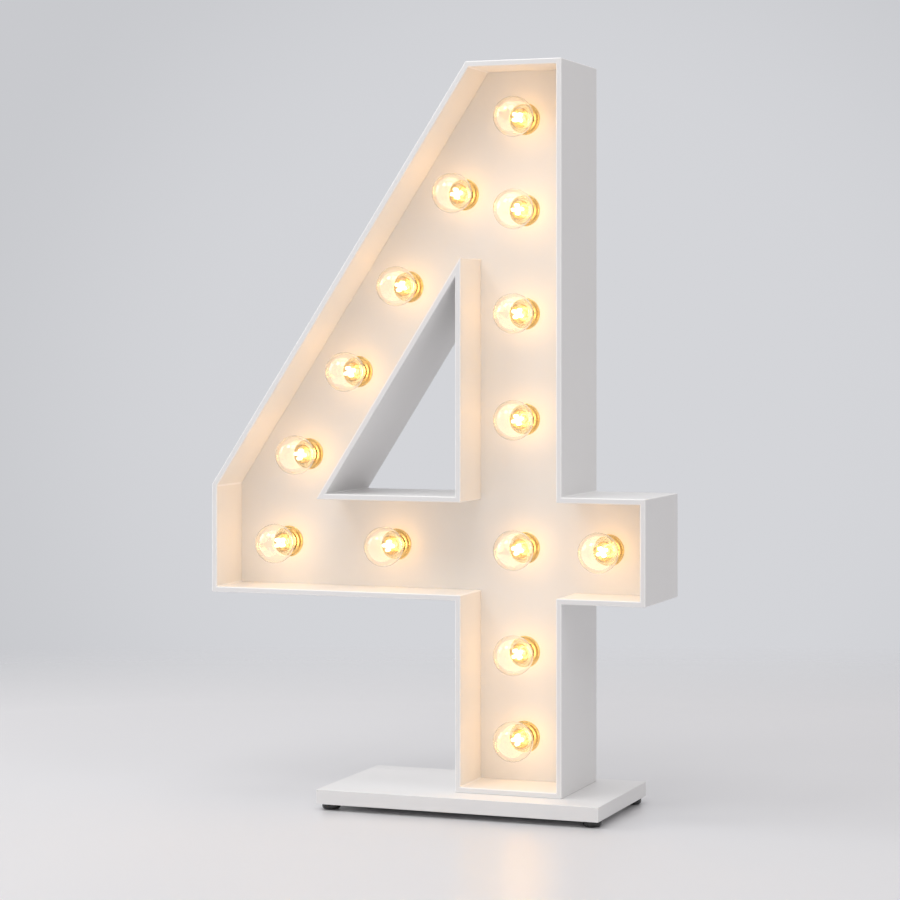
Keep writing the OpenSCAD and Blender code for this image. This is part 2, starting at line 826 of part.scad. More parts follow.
// Glass stem that carries the filaments between two spiders of fine wire
module filament_mount() {
    low = cap_floor + seat_gap;
    wire = 1;
    stem_r = 3.2;
    flare_r = neck_d / 2 - glass_t - 1;
    ring_r = filament_ring / 2;
    rotate_extrude()
        polygon([
            [0, low], [flare_r, low], [flare_r * 0.6, low + 4], [stem_r, low + 12],
            [stem_r, stem_end], [stem_r * 0.6, stem_end + 2], [0, stem_end + 2]
        ]);
    translate([0, 0, stem_end]) cylinder(d = wire, h = filament_l);
    for (k = [0:filament_n - 1])
        rotate(360 * k / filament_n) {
            translate([ring_r, 0, stem_end]) cylinder(d = filament_d, h = filament_l);
            for (h = [stem_end + wire, stem_end + filament_l - wire])
                translate([0, 0, h]) rotate([0, 90, 0]) cylinder(d = wire, h = ring_r);
        }
}

module bulb_screw_base(i) {
    color(brass)
    on_panel(bulbs[i]) {
        screw_cap();
        filament_mount();
    }
}

for (i = [0:len(WALLS) - 1])
    outer_wall(i);
for (i = [0:len(COUNTER_WALLS) - 1])
    counter_wall(i);
face_panel();
rear_cover();
glue_blocks();
cover_screws();
mounting_block();
base_plate();
base_bolts();
for (i = [0:len(FEET) - 1])
    foot(i);
lampholder_collars();
lampholder_bodies();
lampholder_contacts();
wiring();
power_inlet();
switch_frame();
switch_rocker();
for (i = [0:len(bulbs) - 1]) {
    bulb_globe(i);
    bulb_screw_base(i);
}
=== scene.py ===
"""Looks of the lit marquee number 4.

Painted channel, brass lampholders, globe bulbs, base, feet and the fittings on the back.
"""

import json
import math

import bmesh
import bpy
from mathutils import Matrix, Vector

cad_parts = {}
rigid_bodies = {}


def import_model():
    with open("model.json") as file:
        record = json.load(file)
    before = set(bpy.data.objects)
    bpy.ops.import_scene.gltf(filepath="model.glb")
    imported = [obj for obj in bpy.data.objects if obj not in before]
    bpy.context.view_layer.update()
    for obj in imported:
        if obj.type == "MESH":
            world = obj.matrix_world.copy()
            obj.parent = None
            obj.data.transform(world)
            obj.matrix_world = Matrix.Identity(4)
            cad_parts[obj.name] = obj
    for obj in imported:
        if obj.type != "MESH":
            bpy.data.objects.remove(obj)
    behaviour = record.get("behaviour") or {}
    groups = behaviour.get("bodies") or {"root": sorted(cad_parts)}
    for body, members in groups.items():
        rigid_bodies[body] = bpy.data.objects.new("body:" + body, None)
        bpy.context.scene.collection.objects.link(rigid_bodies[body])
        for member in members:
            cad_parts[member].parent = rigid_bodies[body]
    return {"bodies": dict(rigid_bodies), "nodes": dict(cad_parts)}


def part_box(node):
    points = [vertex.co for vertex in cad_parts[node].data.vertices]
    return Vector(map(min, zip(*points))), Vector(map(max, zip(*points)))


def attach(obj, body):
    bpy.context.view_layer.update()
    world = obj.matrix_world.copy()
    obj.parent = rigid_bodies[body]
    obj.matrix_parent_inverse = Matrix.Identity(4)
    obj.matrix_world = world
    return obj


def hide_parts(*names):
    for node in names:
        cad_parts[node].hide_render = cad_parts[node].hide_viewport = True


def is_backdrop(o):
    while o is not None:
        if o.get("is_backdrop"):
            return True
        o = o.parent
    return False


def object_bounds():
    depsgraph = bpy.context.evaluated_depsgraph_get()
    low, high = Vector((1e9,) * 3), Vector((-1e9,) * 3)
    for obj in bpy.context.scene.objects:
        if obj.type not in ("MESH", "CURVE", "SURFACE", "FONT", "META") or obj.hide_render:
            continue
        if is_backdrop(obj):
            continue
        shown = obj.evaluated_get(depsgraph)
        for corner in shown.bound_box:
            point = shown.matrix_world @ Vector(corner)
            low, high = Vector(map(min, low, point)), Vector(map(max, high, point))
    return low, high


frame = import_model()
cad_low, cad_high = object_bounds()
NODES = frame["nodes"]
SCENE = bpy.context.scene
MM = 0.001

# Camera: it looks level from the right front, and the shift sets the object low in the picture
CAMERA_PLACE = (1.200, -3.1403, 0.5865)
CAMERA_TURN = math.radians(20.69)
CAMERA_LENS = 106.86
CAMERA_SHIFT = -0.1253

# Edge softness of the painted boards and of the small moulded fittings
BOARD_EDGE = 1.3 * MM
BASE_EDGE = 1.5 * MM
FITTING_EDGE = 0.35 * MM

# Bulb: the sizes of its CAD solids, but with thinner glass and with thicker, shorter filaments,
# because the photo shows their glare and not the bare filaments
NECK_R = 11.7 * MM
NECK_ROUND = 7.0 * MM
GLASS_T = 0.5 * MM
CAP_R = 13.2 * MM
CAP_OUT = 11.0 * MM
CAP_L = 20.0 * MM
CAP_SEAT = 8.0 * MM
INSULATOR_L = 5.0 * MM
TIP_R = 4.5 * MM
TIP_H = 2.0 * MM
THREAD_PITCH = 3.6 * MM
THREAD_DEPTH = 1.0 * MM
THREAD_FADE = 2.0 * MM
CAP_RIM = 5.0 * MM
INSULATOR_STEP = 1.6 * MM
STEM_R = 2.8 * MM
FILAMENTS = 4
FILAMENT_R = 2.4 * MM
FILAMENT_RING = 5.0 * MM
FILAMENT_L = 12.0 * MM
FILAMENT_OUT = 32.5 * MM
SUPPORT_R = 0.35 * MM

# Brass collar: the sizes of its CAD solid, but with a lip that comes closer to the screw cap
COLLAR_R = 20.0 * MM
COLLAR_FOOT_R = 18.2 * MM
COLLAR_EDGE_H = 5.0 * MM
COLLAR_EDGE = 1.0 * MM
COLLAR_SHOULDER = 0.3 * MM
COLLAR_SEAT = 3.0 * MM
RING_R = 16.85 * MM
RING_EDGE = 0.6 * MM
LIP_T = 0.8 * MM
LIP_DISH = 0.3 * MM
LIP_INSIDE = 13.8 * MM
NOSE_INSIDE = 15.85 * MM
SKIRT_INSIDE = 17.05 * MM

# Light of the bulbs, with the small lamp that lights the recess from inside each globe
FILAMENT_GLOW = 2.4
FILAMENT_COLOUR = (1.0, 0.90, 0.70)
BULB_POWER = 0.0405
BULB_COLOUR = (1.0, 0.55, 0.19)
BULB_LIGHT_R = 3.0 * MM
BULB_LIGHT_OUT = 25.0 * MM
# Painted glow: the globe and stem glass give off a warm light of their own, which stands for the
# bright rim and haze of lit glass
GLASS_PAINTED_GLOW = 50.0
STEM_PAINTED_GLOW = 40.0
PAINTED_GLOW_COLOUR = (1.0, 0.72, 0.32)

# Studio: what lights the object, and what the camera sees behind it
WORLD_LIGHT = 0.515
WORLD_COLOUR = (1.0, 0.965, 0.97)
BACKDROP = (0.658, 0.665, 0.694)
# Painted shade: the backdrop is darker towards its sides than in its middle
BACKDROP_EDGE = (0.584, 0.591, 0.617)
BACKDROP_MIDDLE = (-0.318, 0.948, -0.031)
BACKDROP_ANGLES = (13.0, 5.5)
# Each softbox: name, place, power, size, and whether glossy surfaces mirror it
SOFTBOXES = (
    ("key_softbox", (-1.25, -1.8, 2.75), 15.0, 0.9, True),
    ("left_softbox", (-3.0, -0.6, 1.6), 34.0, 1.5, False),
    ("top_softbox", (0.0, 0.0, 3.0), 14.0, 1.8, True),
    ("front_softbox", (0.2, -2.2, 3.2), 20.0, 1.5, True),
    ("right_softbox", (2.2, -1.0, 2.4), 8.5, 1.3, True),
    ("back_softbox", (-0.8, 2.8, 2.4), 6.0, 1.3, False),
)
FLOOR_HALF = 1.72
FLOOR_FADE = 0.80
FLOOR_COLOUR = (0.755, 0.754, 0.767)
WHITE = (0.86, 0.855, 0.85)
# Painted light: the recess side of the walls and the face panel take a warmer white, which paints in
# part of the bulbs' warm light
RECESS_WARM_LIGHT_WHITE = (0.875, 0.858, 0.822)
# Painted highlight: the rounded board edges take this brighter white, so that every edge shows a light
# line
EDGE_HIGHLIGHT_WHITE = (0.97, 0.965, 0.96)

# Back fittings
SCREW_SHANK_R = 1.7 * MM
MARK_SIZE = 3.4 * MM
MARK_STROKE = 0.7 * MM
MARK_T = 0.08 * MM
MARK_SUNK = 0.02 * MM

# Degrees by which each next bulb or screw is turned further, so that no two look alike
BULB_TURN = 37
SCREW_TURN = 53


# Mesh helpers
def add_object(name, mesh, *materials):
    piece = bpy.data.objects.new(name, mesh)
    SCENE.collection.objects.link(piece)
    if not mesh.materials:
        for material in materials:
            mesh.materials.append(material)
    return piece


def mesh_from(bm, name, smooth_angle=35):
    mesh = bpy.data.meshes.new(name)
    bmesh.ops.recalc_face_normals(bm, faces=bm.faces)
    bm.to_mesh(mesh)
    bm.free()
    mesh.shade_smooth()
    mesh.set_sharp_from_angle(angle=math.radians(smooth_angle))
    return mesh


def soft_edges(piece, width, segments=3, angle=30, highlight_edge_slot=-1):
    bevel = piece.modifiers.new("soft_edges", "BEVEL")
    bevel.width = width
    bevel.segments = segments
    bevel.limit_method = "ANGLE"
    bevel.angle_limit = math.radians(angle)
    bevel.harden_normals = True
    # The bevel's faces take the slot given here; on the boards that is the brighter edge white, a
    # painted highlight
    bevel.material = highlight_edge_slot
    piece.data.shade_smooth()


def arc(centre, radius, start, end, steps):
    points = []
    for k in range(steps + 1):
        a = math.radians(start + (end - start) * k / steps)
        points.append((centre[0] + radius * math.cos(a), centre[1] + radius * math.sin(a)))
    return points


def lathe(bm, profile, segments, slot=0, closed=False, shape=None):
    """Turns (radius, height) points about Z.

    A point on the axis becomes one vertex. Shape, where given, changes the radius at each angle.
    """
    rings = []
    for radius, height in profile:
        if radius < 1e-7:
            rings.append([bm.verts.new((0, 0, height))])
            continue
        ring = []
        for k in range(segments):
            a = 2 * math.pi * k / segments
            r = shape(radius, height, a) if shape else radius
            ring.append(bm.verts.new((r * math.cos(a), r * math.sin(a), height)))
        rings.append(ring)
    following = rings[1:] + rings[:1] if closed else rings[1:]
    for low, high in zip(rings, following):
        if len(low) == 1 and len(high) == 1:
            continue
        for k in range(segments):
            n = (k + 1) % segments
            corners = [low[k % len(low)], low[n % len(low)]]
            corners += [high[n % len(high)], high[k % len(high)]]
            face = bm.faces.new(list(dict.fromkeys(corners)))
            face.material_index = slot
    return bm


def join(bm, part):
    """Moves the geometry of one bmesh into another, material slots included."""
    mesh = bpy.data.meshes.new("part")
    part.to_mesh(mesh)
    part.free()
    bm.from_mesh(mesh)
    bpy.data.meshes.remove(mesh)


def tube(bm, start, end, radius, sides=12, slot=0):
    """A round rod with domed ends between two points."""
    start, end = Vector(start), Vector(end)
    way = end - start
    turn = way.to_track_quat("Z", "Y").to_matrix().to_4x4()
    dome = [(max(r, 0.0), h) for r, h in arc((0, radius), radius, -90, 0, 4)]
    top = [(r, way.length - h) for r, h in reversed(dome)]
    dome[0] = (0.0, dome[0][1])
    top[-1] = (0.0, top[-1][1])
    part = lathe(bmesh.new(), dome + top, sides, slot)
    part.transform(Matrix.Translation(start) @ turn)
    join(bm, part)


def welded(node):
    """A CAD node's faces with its split corners welded and its flat faces merged, as one bmesh."""
    bm = bmesh.new()
    bm.from_mesh(NODES[node].data)
    bmesh.ops.remove_doubles(bm, verts=bm.verts, dist=1e-6)
    bmesh.ops.dissolve_limit(
        bm,
        angle_limit=math.radians(0.4),
        use_dissolve_boundaries=False,
        verts=bm.verts,
        edges=bm.edges,
    )
    return bm


def box_of(vertices):
    low = Vector(min(v.co[i] for v in vertices) for i in range(3))
    high = Vector(max(v.co[i] for v in vertices) for i in range(3))
    return low, high


def loose_parts(node):
    """The separate solids of a CAD node as bmeshes, largest box first."""
    whole = welded(node)
    left = set(whole.faces)
    parts = []
    while left:
        front = [left.pop()]
        group = list(front)
        while front:
            face = front.pop()
            for edge in face.edges:
                for other in edge.link_faces:
                    if other in left:
                        left.remove(other)
                        group.append(other)
                        front.append(other)
        part = bmesh.new()
        known = {}
        for face in sorted(group, key=lambda f: f.index):
            for vertex in face.verts:
                if vertex not in known:
                    known[vertex] = part.verts.new(vertex.co)
            part.faces.new([known[vertex] for vertex in face.verts])
        parts.append(part)
    whole.free()

    def reach(part):
        low, high = box_of(part.verts)
        return (high - low).length

    return sorted(parts, key=reach, reverse=True)


def place_piece(piece, body, slot, *nodes):
    """Attaches a piece to the body it moves with and hides the CAD nodes it stands for; slot, the
    finish, is not used.
    """
    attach(piece, body)
    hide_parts(*nodes)


# Materials
class Look:
    """A node material with its Principled shader and short ways to add textures."""

    def __init__(self, name):
        self.material = bpy.data.materials.new(name)
        self.material.use_nodes = True
        self.tree = self.material.node_tree
        self.shader = self.tree.nodes["Principled BSDF"]
        self.coords = self.tree.nodes.new("ShaderNodeTexCoord").outputs["Object"]

    def set(self, **values):
        for socket, value in values.items():
            self.shader.inputs[socket.replace("_", " ")].default_value = value

    def node(self, kind, **values):
        made = self.tree.nodes.new("ShaderNode" + kind)
        for socket, value in values.items():
            made.inputs[socket.replace("_", " ")].default_value = value
        return made

    def link(self, source, target):
        self.tree.links.new(source, target)

    def axes(self):
        split = self.node("SeparateXYZ")
        self.link(self.coords, split.inputs["Vector"])
        return split.outputs

    def stretched(self, scale):
        mapping = self.node("Mapping", Scale=scale)
        self.link(self.coords, mapping.inputs["Vector"])
        return mapping.outputs["Vector"]

    def noise(self, scale, detail=2.0, roughness=0.5, coords=None):
        made = self.node("TexNoise", Scale=scale, Detail=detail, Roughness=roughness)
        self.link(coords or self.coords, made.inputs["Vector"])
        return made.outputs["Fac"]

    def colours(self, factor, *stops):
        ramp = self.node("ValToRGB")
        elements = ramp.color_ramp.elements
        while len(elements) < len(stops):
            elements.new(0.5)
        for element, (place, colour) in zip(elements, stops):
            element.position = place
            element.color = (*colour, 1)
        self.link(factor, ramp.inputs["Fac"])
        self.link(ramp.outputs["Color"], self.shader.inputs["Base Color"])

    def roughness(self, factor, low, high, start=0.3, end=0.7):
        spread = self.node("MapRange", From_Min=start, From_Max=end, To_Min=low, To_Max=high)
        self.link(factor, spread.inputs["Value"])
        self.link(spread.outputs["Result"], self.shader.inputs["Roughness"])

    def maths(self, operation, *values):
        made = self.node("Math")
        made.operation = operation
        for socket, value in zip(made.inputs, values):
            if isinstance(value, (int, float)):
                socket.default_value = value
            else:
                self.link(value, socket)
        return made.outputs["Value"]

    def bump(self, height, strength, distance):
        made = self.node("Bump", Strength=strength, Distance=distance)
        self.link(height, made.inputs["Height"])
        self.link(made.outputs["Normal"], self.shader.inputs["Normal"])


def painted_board(name, colour):
    """Sprayed satin white paint on smooth board: faint clouding, fine orange peel, uneven sheen."""
    look = Look(name)
    dim = [c * 0.965 for c in colour]
    look.colours(look.noise(5.0, 4.0), (0.15, dim), (0.85, colour))
    look.roughness(look.noise(14.0, 3.0), 0.30, 0.42)
    peel = look.maths("MULTIPLY", look.noise(520.0, 3.0, 0.55), 0.65)
    waves = look.maths("MULTIPLY", look.noise(60.0, 2.0), 0.35)
    look.bump(look.maths("ADD", peel, waves), 0.10, 0.0004)
    look.set(IOR=1.45, Specular_IOR_Level=0.40)
    return look.material


def turned_brass(name, dark, light, rough_low, rough_high):
    """Lacquered brass with fine turning lines round its own axis."""
    look = Look(name)
    axes = look.axes()
    squares = [look.maths("MULTIPLY", axes[axis], axes[axis]) for axis in ("X", "Y")]
    radius = look.maths("SQRT", look.maths("ADD", *squares))
    along = look.maths("ADD", radius, axes["Z"])
    lines = look.maths("SINE", look.maths("MULTIPLY", along, 9000.0))
    look.colours(look.noise(160.0, 3.0), (0.3, dark), (0.7, light))
    look.roughness(look.noise(420.0, 2.0), rough_low, rough_high)
    look.bump(lines, 0.05, 0.00006)
    look.set(Metallic=1.0)
    return look.material


def clear_glass(name, colour, clarity, glow=0.0):
    """Thin clear glass, barely hazed; where a glow is given, the glass gives off a warm painted glow
    through its thickness, which stands for the light it catches from the filaments.
    """
    look = Look(name)
    look.roughness(look.noise(45.0, 2.0), 0.0, 0.03)
    look.set(Base_Color=(*colour, 1), Transmission_Weight=clarity, IOR=1.5)
    if glow:
        inside = look.node("Emission", Color=(*PAINTED_GLOW_COLOUR, 1), Strength=glow)
        look.link(inside.outputs["Emission"], look.tree.nodes["Material Output"].inputs["Volume"])
    return look.material


def moulded_plastic(name, colour, rough_low, rough_high, grain=900.0):
    """Moulded plastic with a fine spark-eroded grain."""
    look = Look(name)
    light = [min(1.0, c * 1.5 + 0.004) for c in colour]
    look.colours(look.noise(70.0, 3.0), (0.35, colour), (0.7, light))
    look.roughness(look.noise(120.0, 2.0), rough_low, rough_high)
    look.bump(look.noise(grain, 2.0), 0.12, 0.0002)
    look.set(IOR=1.5)
    return look.material


def plated_steel(name, colour):
    look = Look(name)
    dim = [c * 0.82 for c in colour]
    look.colours(look.noise(240.0, 3.0), (0.3, dim), (0.7, colour))
    look.roughness(look.noise(500.0, 2.0), 0.24, 0.42)
    look.bump(look.noise(1500.0, 2.0), 0.06, 0.0001)
    look.set(Metallic=1.0)
    return look.material


def bare_pine(name):
    """Sawn softwood: grain lines stretched along the block."""
    look = Look(name)
    grain = look.noise(40.0, 6.0, 0.6, look.stretched((6.0, 0.6, 6.0)))
    dark, middle_tone, pale = (0.50, 0.32, 0.15), (0.68, 0.48, 0.26), (0.76, 0.58, 0.36)
    look.colours(grain, (0.3, dark), (0.55, middle_tone), (0.75, pale))
    look.roughness(grain, 0.55, 0.75)
    look.bump(grain, 0.25, 0.0006)
    return look.material


def insulated_wire(name):
    """Two conductors told apart by their depth: brown in front, blue behind."""
    look = Look(name)
    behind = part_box("wiring")[0].y + 4.0 * MM
    is_blue = look.maths("GREATER_THAN", look.axes()["Y"], behind)
    shade = look.maths("MULTIPLY_ADD", look.noise(300.0, 2.0), 0.1, -0.05)
    brown, blue = (0.20, 0.09, 0.04), (0.05, 0.14, 0.42)
    look.colours(look.maths("ADD", is_blue, shade), (0.1, brown), (0.9, blue))
    look.roughness(look.noise(200.0, 2.0), 0.4, 0.55)
    return look.material


def lit_filament(name):
    """Glowing filament: rows of bright dice under a warm coating."""
    look = Look(name)
    dice = look.maths("SINE", look.maths("MULTIPLY", look.axes()["Z"], 2 * math.pi / (1.1 * MM)))
    glow = look.maths("MULTIPLY_ADD", dice, FILAMENT_GLOW * 0.2, FILAMENT_GLOW)
    look.link(glow, look.shader.inputs["Emission Strength"])
    look.colours(look.noise(400.0, 2.0), (0.3, (0.85, 0.60, 0.22)), (0.7, (0.92, 0.70, 0.30)))
    look.set(Emission_Color=(*FILAMENT_COLOUR, 1), Roughness=0.6)
    look.material.cycles.emission_sampling = "NONE"
    return look.material


paint = painted_board("satin_white_paint", WHITE)
# Warmer white for the recess: painted warm light from the bulbs
recess_warm_light_paint = painted_board("recess_painted_warm_light", RECESS_WARM_LIGHT_WHITE)
# Brighter white for the rounded edges: a painted highlight along every board edge
edge_highlight_paint = painted_board("edge_highlight_paint", EDGE_HIGHLIGHT_WHITE)
brass = turned_brass("turned_brass", (0.82, 0.56, 0.22), (0.93, 0.69, 0.32), 0.16, 0.27)
cap_brass = turned_brass("rolled_cap_brass", (0.74, 0.52, 0.24), (0.86, 0.64, 0.33), 0.22, 0.36)
# The globe and stem glass glow: painted light, since the glass is no lamp
globe_glass = clear_glass("globe_glass", (1.0, 0.985, 0.955), 1.0, GLASS_PAINTED_GLOW)
stem_glass = clear_glass("stem_glass", (1.0, 0.95, 0.85), 1.0, STEM_PAINTED_GLOW)
phenolic = moulded_plastic("black_phenolic", (0.022, 0.018, 0.016), 0.28, 0.42)
foot_plastic = moulded_plastic("foot_plastic", (0.022, 0.022, 0.023), 0.16, 0.26, 700.0)
vitrite = moulded_plastic("black_vitrite", (0.012, 0.012, 0.014), 0.12, 0.25)
white_print = moulded_plastic("white_marking", (0.78, 0.78, 0.76), 0.45, 0.6)
steel = plated_steel("zinc_plated_steel", (0.60, 0.60, 0.62))
nickel = plated_steel("nickel_wire", (0.55, 0.50, 0.42))
solder = plated_steel("solder", (0.68, 0.67, 0.64))
pine = bare_pine("sawn_pine")
wire_cover = insulated_wire("wire_insulation")
filament_glow = lit_filament("lit_filament")


# CAD nodes that stay in view with a finished material
def dress(node, material):
    mesh = NODES[node].data
    mesh.materials.clear()
    mesh.materials.append(material)
    for polygon in mesh.polygons:
        polygon.material_index = 0


# The face panel takes the warmer white, with warm light from the bulbs painted in
dress("face_panel", recess_warm_light_paint)
dress("rear_cover", paint)
dress("glue_blocks", pine)
dress("mounting_block", pine)
dress("base_bolts", steel)
dress("lampholder_bodies", phenolic)
dress("lampholder_contacts", brass)
dress("wiring", wire_cover)
# The black sockets inside the collars would ring every glow with a hard shadow
for node in ("lampholder_bodies", "lampholder_contacts"):
    NODES[node].visible_shadow = False


# Channel walls: boards mitred, filled and painted over as one continuous band
def unit(v):
    return v / v.length


def left_of(v):
    return Vector((-v.y, v.x))


def meet(p, u, q, v):
    return p + u * ((q - p).cross(v) / u.cross(v))


def moved_in(points, distance):
    """A closed outline with every side moved to its left by a distance."""
    moved = []
    for k, point in enumerate(points):
        before = unit(point - points[k - 1])
        after = unit(points[(k + 1) % len(points)] - point)
        a = point + left_of(before) * distance
        b = point + left_of(after) * distance
        moved.append(meet(a, before, b, after))
    return moved


def channel_ring(name, outer, inner, y_front, y_back, recess_side):
    """A closed band of wall between two outlines in X and Z, drawn out along Y.

    The side that faces the recess takes the second material, a warmer white with part of the bulbs'
    warm light painted in.
    """
    bm = bmesh.new()
    loops = []
    for points, y in ((outer, y_front), (inner, y_front), (inner, y_back), (outer, y_back)):
        loops.append([bm.verts.new((p.x, y, p.y)) for p in points])
    count = len(outer)
    for k in range(count):
        n = (k + 1) % count
        for side, (a, b) in enumerate(zip(loops, loops[1:] + loops[:1])):
            face = bm.faces.new((a[k], a[n], b[n], b[k]))
            face.material_index = int(side == recess_side)
    return mesh_from(bm, name)


def edge_reach(node, axis, value, along, furthest):
    """The furthest place along one axis among a CAD node's corners on a plane."""
    vertices = NODES[node].data.vertices
    return furthest(v.co[along] for v in vertices if abs(v.co[axis] - value) < 1e-5)


OUTER_WALLS = (
    "wall_stem_bottom", "wall_stem_right_lower", "wall_arm_underside", "wall_arm_end",
    "wall_arm_top", "wall_stem_right_upper", "wall_top", "wall_diagonal", "wall_bar_end",
    "wall_bar_underside", "wall_stem_left",
)
COUNTER_WALLS = ("counter_bottom", "counter_right", "counter_diagonal")

foot_low, foot_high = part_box("wall_stem_bottom")
arm_low, arm_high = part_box("wall_arm_end")
bar_end_low, bar_end_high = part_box("wall_bar_end")
top_low, top_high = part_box("wall_top")
stem_left, stem_right = foot_low.x, foot_high.x
front, back, base_top = foot_low.y, foot_high.y, foot_low.z
wall_t = foot_high.z - foot_low.z
outline = [
    Vector(point)
    for point in (
        (stem_left, base_top), (stem_right, base_top), (stem_right, arm_low.z),
        (arm_high.x, arm_low.z), (arm_high.x, arm_high.z), (stem_right, arm_high.z),
        (stem_right, top_high.z), (top_low.x, top_high.z), (bar_end_low.x, bar_end_high.z),
        (bar_end_low.x, bar_end_low.z), (stem_left, bar_end_low.z),
    )
]
counter_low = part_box("counter_bottom")[1].z
counter = [
    Vector((edge_reach("counter_bottom", 2, counter_low, 0, min), counter_low)),
    Vector((stem_left, counter_low)),
    Vector((stem_left, edge_reach("counter_right", 0, stem_left, 2, max))),
]
outer_mesh = channel_ring("channel_walls", outline, moved_in(outline, wall_t), front, back, 1)
counter_mesh = channel_ring("counter_walls", moved_in(counter, -wall_t), counter, front, back, 3)
for mesh, nodes in ((outer_mesh, OUTER_WALLS), (counter_mesh, COUNTER_WALLS)):
    wall = add_object(mesh.name, mesh, paint, recess_warm_light_paint, edge_highlight_paint)
    # Slot 2, the brighter edge white, is a painted highlight on the rounded edges
    soft_edges(wall, BOARD_EDGE, highlight_edge_slot=2)
    place_piece(wall, "frame", "painted_board", *nodes)

base_mesh = mesh_from(welded("base_plate"), "base_board")
base_board = add_object("base_board", base_mesh, paint, edge_highlight_paint)
# Slot 1, the brighter edge white, is a painted highlight on the rounded edges
soft_edges(base_board, BASE_EDGE, angle=60, highlight_edge_slot=1)
place_piece(base_board, "frame", "painted_board", "base_plate")


# Feet: moulded pads on their studs
def foot_mesh(node):
    low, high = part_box(node)
    pad_r = (high.x - low.x) / 2
    pad_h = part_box("base_plate")[0].z
    stud_r = 4.0 * MM
    lower, upper = 4.0 * MM, 0.5 * MM
    profile = [(0, low.z)]
    profile += arc((pad_r - lower, lower), lower, -90, 0, 10)
    profile += arc((pad_r - upper, pad_h - upper), upper, 0, 90, 3)
    profile += [(stud_r, pad_h), (stud_r, high.z - 1 * MM), (stud_r - 1 * MM, high.z), (0, high.z)]
    return mesh_from(lathe(bmesh.new(), profile, 96), "levelling_foot")


FEET = ("foot_front_left", "foot_front_right", "foot_rear_left", "foot_rear_right")
pad_mesh = foot_mesh(FEET[0])
for node in FEET:
    low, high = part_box(node)
    pad = add_object(node + "_pad", pad_mesh, foot_plastic)
    pad.location = ((low.x + high.x) / 2, (low.y + high.y) / 2, 0)
    place_piece(pad, node, "foot_plastic", node)

# Bulb places, from the globes' boxes; heights count forwards from the face panel
BULBS = sorted(body for body in frame["bodies"] if body.startswith("bulb_"))
panel_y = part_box("face_panel")[0].y
globe_low, globe_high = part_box(BULBS[0] + "_globe")
GLOBE_R = (globe_high.x - globe_low.x) / 2
GLOBE_OUT = panel_y - globe_low.y - GLOBE_R
COLLAR_H = panel_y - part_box("lampholder_collars")[0].y


def bulb_place(body):
    low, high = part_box(body + "_globe")
    return Vector(((low.x + high.x) / 2, panel_y, (low.z + high.z) / 2))


def on_panel(body, turn=0.0):
    facing = Matrix.Rotation(math.radians(90), 4, "X")
    return Matrix.Translation(bulb_place(body)) @ facing @ Matrix.Rotation(turn, 4, "Z")


def collar_mesh():
    """Turned brass collar: flared foot, rolled edge, raised ring and a lip over the socket."""
    shoulder = COLLAR_EDGE_H + COLLAR_EDGE - COLLAR_SHOULDER
    groove, roll = 0.25 * MM, 0.25 * MM
    lip_under = COLLAR_H - LIP_DISH - LIP_T
    profile = [(SKIRT_INSIDE, 0), (COLLAR_FOOT_R, 0)]
    profile += arc((COLLAR_R - COLLAR_EDGE, COLLAR_EDGE_H), COLLAR_EDGE, -45, 90, 12)
    profile += arc((RING_R + groove, shoulder + groove), groove, 270, 180, 4)
    profile += arc((RING_R - RING_EDGE, COLLAR_H - RING_EDGE), RING_EDGE, 0, 90, 8)
    profile += arc((LIP_INSIDE + roll, COLLAR_H - LIP_DISH - roll), roll, 75, 180, 5)
    profile += [(LIP_INSIDE, lip_under), (NOSE_INSIDE, lip_under), (NOSE_INSIDE, COLLAR_SEAT)]
    profile += [(SKIRT_INSIDE, COLLAR_SEAT)]
    return mesh_from(lathe(bmesh.new(), profile, 96, closed=True), "brass_collar")


def glass_profile(inset):
    """Neck, flowing curve and globe, from the neck's end to the top."""
    globe_r, neck_r, round_r = GLOBE_R - inset, NECK_R - inset, NECK_ROUND + inset
    side = neck_r + round_r
    round_z = GLOBE_OUT - math.sqrt((globe_r + round_r) ** 2 - side ** 2)
    joint = math.degrees(math.atan2(GLOBE_OUT - round_z, -side))
    points = [(neck_r, CAP_OUT - CAP_SEAT + 0.05 * MM)]
    points += arc((side, round_z), round_r, 180, joint, 8)
    points += arc((0, GLOBE_OUT), globe_r, joint - 180, 90, 44)[1:]
    points[-1] = (0, points[-1][1])
    return points


def globe_mesh():
    profile = glass_profile(0) + list(reversed(glass_profile(GLASS_T)))
    return mesh_from(lathe(bmesh.new(), profile, 80, closed=True), "globe_glass")


def thread(radius, height, angle):
    """Rolled screw thread on the cap's outside, fading out at both ends."""
    low, high = CAP_OUT - CAP_L, CAP_OUT - CAP_RIM
    if radius < CAP_R - 0.6 * MM or height > high:
        return radius
    wave = 0.5 - 0.5 * math.cos(2 * math.pi * height / THREAD_PITCH - angle)
    fade = min(1.0, (height - low) / THREAD_FADE, (high - height) / THREAD_FADE)
    return radius - THREAD_DEPTH * wave * max(0.0, fade)


